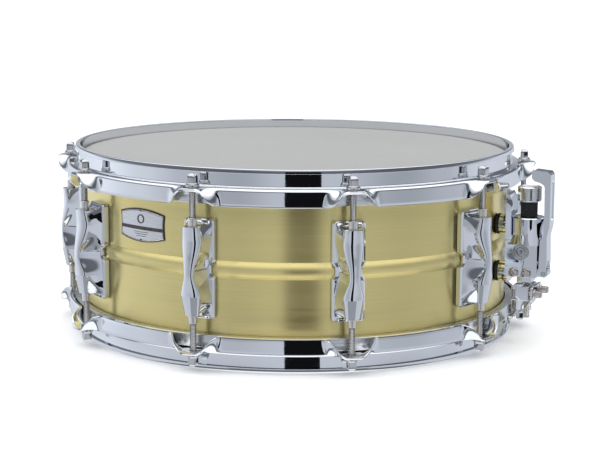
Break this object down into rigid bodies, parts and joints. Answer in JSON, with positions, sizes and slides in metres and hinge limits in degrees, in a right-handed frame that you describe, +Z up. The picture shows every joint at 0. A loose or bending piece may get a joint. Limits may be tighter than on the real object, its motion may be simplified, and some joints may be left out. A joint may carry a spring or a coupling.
{
  "type": "snare drum",
  "caption": "Shallow brass snare drum with chromed hoops, one-piece lugs, a side-throw snare strainer with adjuster knob, a butt plate and snare wires.",
  "frame": {"origin": "centre of the batter head's top face, on the drum's axis", "axes": "+Z up out of the batter head along the drum's axis, +X towards the strainer, so that the butt plate is at -X"},
  "size_m": [0.4414, 0.4022, 0.1535],
  "materials": {
    "satin_brass": "brushed round the shell, satin",
    "chrome": "mirror polished",
    "steel": "bright plated",
    "wire_steel": "bright coiled wire",
    "aluminium": "satin",
    "nickel_badge": "fine brushed with dark outline",
    "coated_film": "thin coating, matt",
    "clear_film": "hazy thin film",
    "black_rubber": "matt",
    "strap_plastic": "translucent"
  },
  "bodies": {
    "drum": {"shell": "satin_brass", "badge": "nickel_badge", "vent_grommet": "chrome", "batter_head": "coated_film", "snare_side_head": "clear_film", "batter_flesh_hoop": "aluminium", "snare_side_flesh_hoop": "aluminium", "batter_hoop": "chrome", "snare_side_hoop": "chrome", "lug_01": "chrome", "lug_02": "chrome", "lug_03": "chrome", "lug_04": "chrome", "lug_05": "chrome", "lug_06": "chrome", "lug_07": "chrome", "lug_08": "chrome", "lug_09": "chrome", "lug_10": "chrome", "strainer_housing": "chrome", "side_medallion": "chrome", "upper_foot_gasket": "black_rubber", "lower_foot_gasket": "black_rubber", "lever_pin": "steel", "butt_block": "chrome", "butt_clamp_plate": "chrome", "butt_clamp_screw_left": "steel", "butt_clamp_screw_right": "steel", "butt_strap": "strap_plastic"},
    "batter_rod_01": {"batter_rod_01": "chrome"},
    "snare_side_rod_01": {"snare_side_rod_01": "chrome"},
    "batter_rod_02": {"batter_rod_02": "chrome"},
    "snare_side_rod_02": {"snare_side_rod_02": "chrome"},
    "batter_rod_03": {"batter_rod_03": "chrome"},
    "snare_side_rod_03": {"snare_side_rod_03": "chrome"},
    "batter_rod_04": {"batter_rod_04": "chrome"},
    "snare_side_rod_04": {"snare_side_rod_04": "chrome"},
    "batter_rod_05": {"batter_rod_05": "chrome"},
    "snare_side_rod_05": {"snare_side_rod_05": "chrome"},
    "batter_rod_06": {"batter_rod_06": "chrome"},
    "snare_side_rod_06": {"snare_side_rod_06": "chrome"},
    "batter_rod_07": {"batter_rod_07": "chrome"},
    "snare_side_rod_07": {"snare_side_rod_07": "chrome"},
    "batter_rod_08": {"batter_rod_08": "chrome"},
    "snare_side_rod_08": {"snare_side_rod_08": "chrome"},
    "batter_rod_09": {"batter_rod_09": "chrome"},
    "snare_side_rod_09": {"snare_side_rod_09": "chrome"},
    "batter_rod_10": {"batter_rod_10": "chrome"},
    "snare_side_rod_10": {"snare_side_rod_10": "chrome"},
    "lever": {"strainer_lever": "chrome"},
    "knob": {"knob_cap": "chrome", "knob_grip": "black_rubber"},
    "lift": {"lift_slide": "chrome"},
    "carriage": {"lift_spindle": "steel", "clamp_block": "chrome", "strainer_clamp_plate": "chrome", "strainer_clamp_screw_left": "steel", "strainer_clamp_screw_right": "steel", "strainer_strap": "strap_plastic"},
    "snares": {"snare_wires": "wire_steel"}
  },
  "joints": [
    {"name": "batter_rod_01_turn", "type": "hinge", "parent": "drum", "child": "batter_rod_01", "pos_m": [0.1826, 0.05933, -0.06935], "axis": [0, 0, 1], "continuous": true},
    {"name": "snare_side_rod_01_turn", "type": "hinge", "parent": "drum", "child": "snare_side_rod_01", "pos_m": [0.1826, 0.05933, -0.06935], "axis": [0, 0, 1], "continuous": true},
    {"name": "batter_rod_02_turn", "type": "hinge", "parent": "drum", "child": "batter_rod_02", "pos_m": [0.11285, 0.15533, -0.06935], "axis": [0, 0, 1], "continuous": true},
    {"name": "snare_side_rod_02_turn", "type": "hinge", "parent": "drum", "child": "snare_side_rod_02", "pos_m": [0.11285, 0.15533, -0.06935], "axis": [0, 0, 1], "continuous": true},
    {"name": "batter_rod_03_turn", "type": "hinge", "parent": "drum", "child": "batter_rod_03", "pos_m": [0, 0.192, -0.06935], "axis": [0, 0, 1], "continuous": true},
    {"name": "snare_side_rod_03_turn", "type": "hinge", "parent": "drum", "child": "snare_side_rod_03", "pos_m": [0, 0.192, -0.06935], "axis": [0, 0, 1], "continuous": true},
    {"name": "batter_rod_04_turn", "type": "hinge", "parent": "drum", "child": "batter_rod_04", "pos_m": [-0.11285, 0.15533, -0.06935], "axis": [0, 0, 1], "continuous": true},
    {"name": "snare_side_rod_04_turn", "type": "hinge", "parent": "drum", "child": "snare_side_rod_04", "pos_m": [-0.11285, 0.15533, -0.06935], "axis": [0, 0, 1], "continuous": true},
    {"name": "batter_rod_05_turn", "type": "hinge", "parent": "drum", "child": "batter_rod_05", "pos_m": [-0.1826, 0.05933, -0.06935], "axis": [0, 0, 1], "continuous": true},
    {"name": "snare_side_rod_05_turn", "type": "hinge", "parent": "drum", "child": "snare_side_rod_05", "pos_m": [-0.1826, 0.05933, -0.06935], "axis": [0, 0, 1], "continuous": true},
    {"name": "batter_rod_06_turn", "type": "hinge", "parent": "drum", "child": "batter_rod_06", "pos_m": [-0.1826, -0.05933, -0.06935], "axis": [0, 0, 1], "continuous": true},
    {"name": "snare_side_rod_06_turn", "type": "hinge", "parent": "drum", "child": "snare_side_rod_06", "pos_m": [-0.1826, -0.05933, -0.06935], "axis": [0, 0, 1], "continuous": true},
    {"name": "batter_rod_07_turn", "type": "hinge", "parent": "drum", "child": "batter_rod_07", "pos_m": [-0.11285, -0.15533, -0.06935], "axis": [0, 0, 1], "continuous": true},
    {"name": "snare_side_rod_07_turn", "type": "hinge", "parent": "drum", "child": "snare_side_rod_07", "pos_m": [-0.11285, -0.15533, -0.06935], "axis": [0, 0, 1], "continuous": true},
    {"name": "batter_rod_08_turn", "type": "hinge", "parent": "drum", "child": "batter_rod_08", "pos_m": [0, -0.192, -0.06935], "axis": [0, 0, 1], "continuous": true},
    {"name": "snare_side_rod_08_turn", "type": "hinge", "parent": "drum", "child": "snare_side_rod_08", "pos_m": [0, -0.192, -0.06935], "axis": [0, 0, 1], "continuous": true},
    {"name": "batter_rod_09_turn", "type": "hinge", "parent": "drum", "child": "batter_rod_09", "pos_m": [0.11285, -0.15533, -0.06935], "axis": [0, 0, 1], "continuous": true},
    {"name": "snare_side_rod_09_turn", "type": "hinge", "parent": "drum", "child": "snare_side_rod_09", "pos_m": [0.11285, -0.15533, -0.06935], "axis": [0, 0, 1], "continuous": true},
    {"name": "batter_rod_10_turn", "type": "hinge", "parent": "drum", "child": "batter_rod_10", "pos_m": [0.1826, -0.05933, -0.06935], "axis": [0, 0, 1], "continuous": true},
    {"name": "snare_side_rod_10_turn", "type": "hinge", "parent": "drum", "child": "snare_side_rod_10", "pos_m": [0.1826, -0.05933, -0.06935], "axis": [0, 0, 1], "continuous": true},
    {"name": "lever_throw", "type": "hinge", "parent": "drum", "child": "lever", "pos_m": [0.2184, 0, -0.08735], "axis": [0, 1, 0], "range_deg": [0, 85]},
    {"name": "knob_turn", "type": "hinge", "parent": "drum", "child": "knob", "pos_m": [0.2038, 0, -0.06935], "axis": [0, 0, 1], "range_deg": [-180, 540]},
    {"name": "lift_drop", "type": "slide", "parent": "drum", "child": "lift", "axis": [0, 0, -1], "range_m": [0, 0.0031]},
    {"name": "carriage_travel", "type": "slide", "parent": "lift", "child": "carriage", "axis": [0, 0, -1], "range_m": [-0.0004, 0.0011]},
    {"name": "snare_swing", "type": "hinge", "parent": "drum", "child": "snares", "pos_m": [-0.164, 0, -0.13995], "axis": [0, 1, 0], "range_deg": [0, 0.53]}
  ],
  "couplings": [
    {"joint": "lift_drop", "follows": "lever_throw", "m_per_rad": 0.0020222},
    {"joint": "snare_swing", "follows": "lever_throw", "ratio": 0.006128},
    {"joint": "carriage_travel", "follows": "knob_turn", "m_per_rad": 0.00011141}
  ]
}
